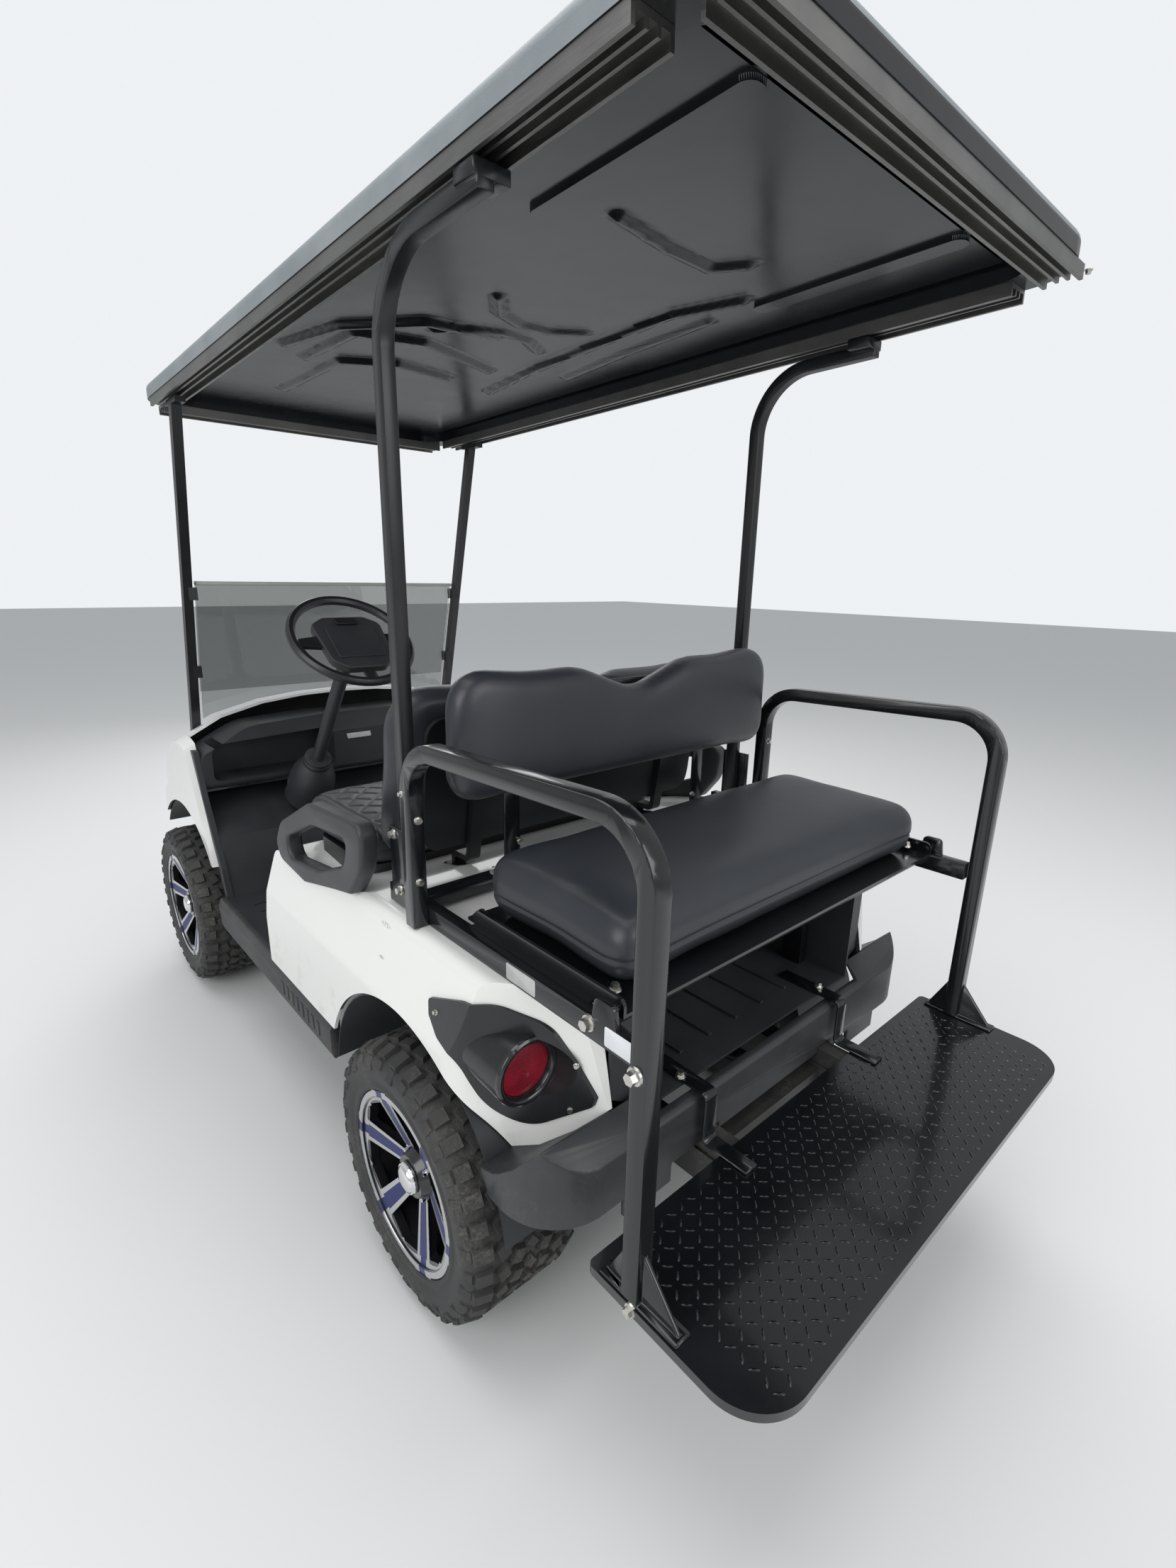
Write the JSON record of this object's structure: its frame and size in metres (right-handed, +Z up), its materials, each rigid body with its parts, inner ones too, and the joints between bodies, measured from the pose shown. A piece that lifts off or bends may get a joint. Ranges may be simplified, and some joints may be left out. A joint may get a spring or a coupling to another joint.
{
  "type": "four-seat golf cart",
  "caption": "Lifted golf cart with a roof, a folded windshield, quilted front seat, flip-over rear seat, grab bars and a footplate; it rolls and steers.",
  "frame": {"origin": "middle of the cart's floor area, on the ground", "axes": "+X forward, +Y to the driver's left, +Z up"},
  "size_m": [2.8, 1.28, 2.0544],
  "materials": {
    "body_white": "moulded gloss white",
    "black_plastic": "textured moulded black",
    "frame_black": "gloss black powder coat",
    "chassis_steel": "satin black chassis paint",
    "motor_grey": "grey paint",
    "vinyl": "charcoal marine vinyl",
    "tyre_rubber": "all-terrain tread rubber",
    "rim_alloy": "machined faces over black and blue paint",
    "red_lens": "dark red lens",
    "clear_lens": "clear lens",
    "tinted_pane": "tinted acrylic",
    "roof_black": "gloss black thermoformed",
    "channel_alloy": "extruded aluminium"
  },
  "bodies": {
    "root": {"rear_body": "body_white", "front_cowl": "body_white", "bagwell": "black_plastic", "rear_bumper": "black_plastic", "rockers": "black_plastic", "floor_pan": "black_plastic", "front_liners": "black_plastic", "front_bumper": "black_plastic", "dash": "black_plastic", "cowl_frames": "black_plastic", "armrests": "black_plastic", "lamp_pods": "black_plastic", "pedals": "black_plastic", "seat_frame": "frame_black", "footplate_straps": "frame_black", "grab_bar_left": "frame_black", "grab_bar_right": "frame_black", "footplate": "frame_black", "rear_struts": "frame_black", "front_struts": "frame_black", "rear_back_frame": "frame_black", "front_back_frame": "frame_black", "steering_column": "frame_black", "frame_rails": "chassis_steel", "rear_axle": "chassis_steel", "rear_springs": "chassis_steel", "front_axle": "chassis_steel", "steering_rack": "chassis_steel", "drive_motor": "motor_grey", "battery_pack": "motor_grey", "front_backrest": "vinyl", "rear_backrest": "vinyl", "tail_lenses": "red_lens", "headlamps": "clear_lens", "windshield": "tinted_pane", "roof": "roof_black", "roof_channels": "channel_alloy"},
    "steering_wheel": {"steering_wheel": "frame_black"},
    "steering_rods": {"tie_rods": "chassis_steel"},
    "knuckle_left": {"knuckle_left": "chassis_steel"},
    "knuckle_right": {"knuckle_right": "chassis_steel"},
    "wheel_front_left": {"rim_front_left": "rim_alloy", "tyre_front_left": "tyre_rubber"},
    "wheel_front_right": {"rim_front_right": "rim_alloy", "tyre_front_right": "tyre_rubber"},
    "wheel_rear_left": {"rim_rear_left": "rim_alloy", "tyre_rear_left": "tyre_rubber"},
    "wheel_rear_right": {"rim_rear_right": "rim_alloy", "tyre_rear_right": "tyre_rubber"},
    "front_seat": {"front_seat_base": "black_plastic", "front_seat_cushion": "vinyl"},
    "rear_seat": {"rear_seat_pan": "frame_black", "rear_seat_cushion": "vinyl"}
  },
  "joints": [
    {"name": "steering_turn", "type": "hinge", "parent": "root", "child": "steering_wheel", "pos_m": [0.361, 0.23, 1.268], "axis": [-0.6252, 0, 0.7804], "range_deg": [-300, 300]},
    {"name": "knuckle_left_turn", "type": "hinge", "parent": "root", "child": "knuckle_left", "pos_m": [1.055, 0.4, 0.282], "axis": [0, 0, 1], "range_deg": [-24, 24]},
    {"name": "knuckle_right_turn", "type": "hinge", "parent": "root", "child": "knuckle_right", "pos_m": [1.055, -0.4, 0.282], "axis": [0, 0, 1], "range_deg": [-24, 24]},
    {"name": "rack_slide", "type": "slide", "parent": "root", "child": "steering_rods", "axis": [0, 1, 0], "range_m": [-0.0495, 0.0495]},
    {"name": "wheel_front_left_roll", "type": "hinge", "parent": "knuckle_left", "child": "wheel_front_left", "pos_m": [1.055, 0.513, 0.282], "axis": [0, 1, 0], "continuous": true},
    {"name": "wheel_front_right_roll", "type": "hinge", "parent": "knuckle_right", "child": "wheel_front_right", "pos_m": [1.055, -0.513, 0.282], "axis": [0, 1, 0], "continuous": true},
    {"name": "wheel_rear_left_roll", "type": "hinge", "parent": "root", "child": "wheel_rear_left", "pos_m": [-0.59, 0.513, 0.282], "axis": [0, 1, 0], "continuous": true},
    {"name": "wheel_rear_right_roll", "type": "hinge", "parent": "root", "child": "wheel_rear_right", "pos_m": [-0.59, -0.513, 0.282], "axis": [0, 1, 0], "continuous": true},
    {"name": "front_seat_lift", "type": "hinge", "parent": "root", "child": "front_seat", "pos_m": [0.136, 0, 0.774], "axis": [0, 1, 0], "range_deg": [0, 65]},
    {"name": "rear_seat_flip", "type": "hinge", "parent": "root", "child": "rear_seat", "pos_m": [-1.06, 0, 0.866], "axis": [0, -1, 0], "range_deg": [0, 180]}
  ],
  "couplings": [
    {"joint": "knuckle_left_turn", "follows": "steering_turn", "ratio": 0.08},
    {"joint": "knuckle_right_turn", "follows": "steering_turn", "ratio": 0.08},
    {"joint": "rack_slide", "follows": "steering_turn", "m_per_rad": -0.00945}
  ]
}
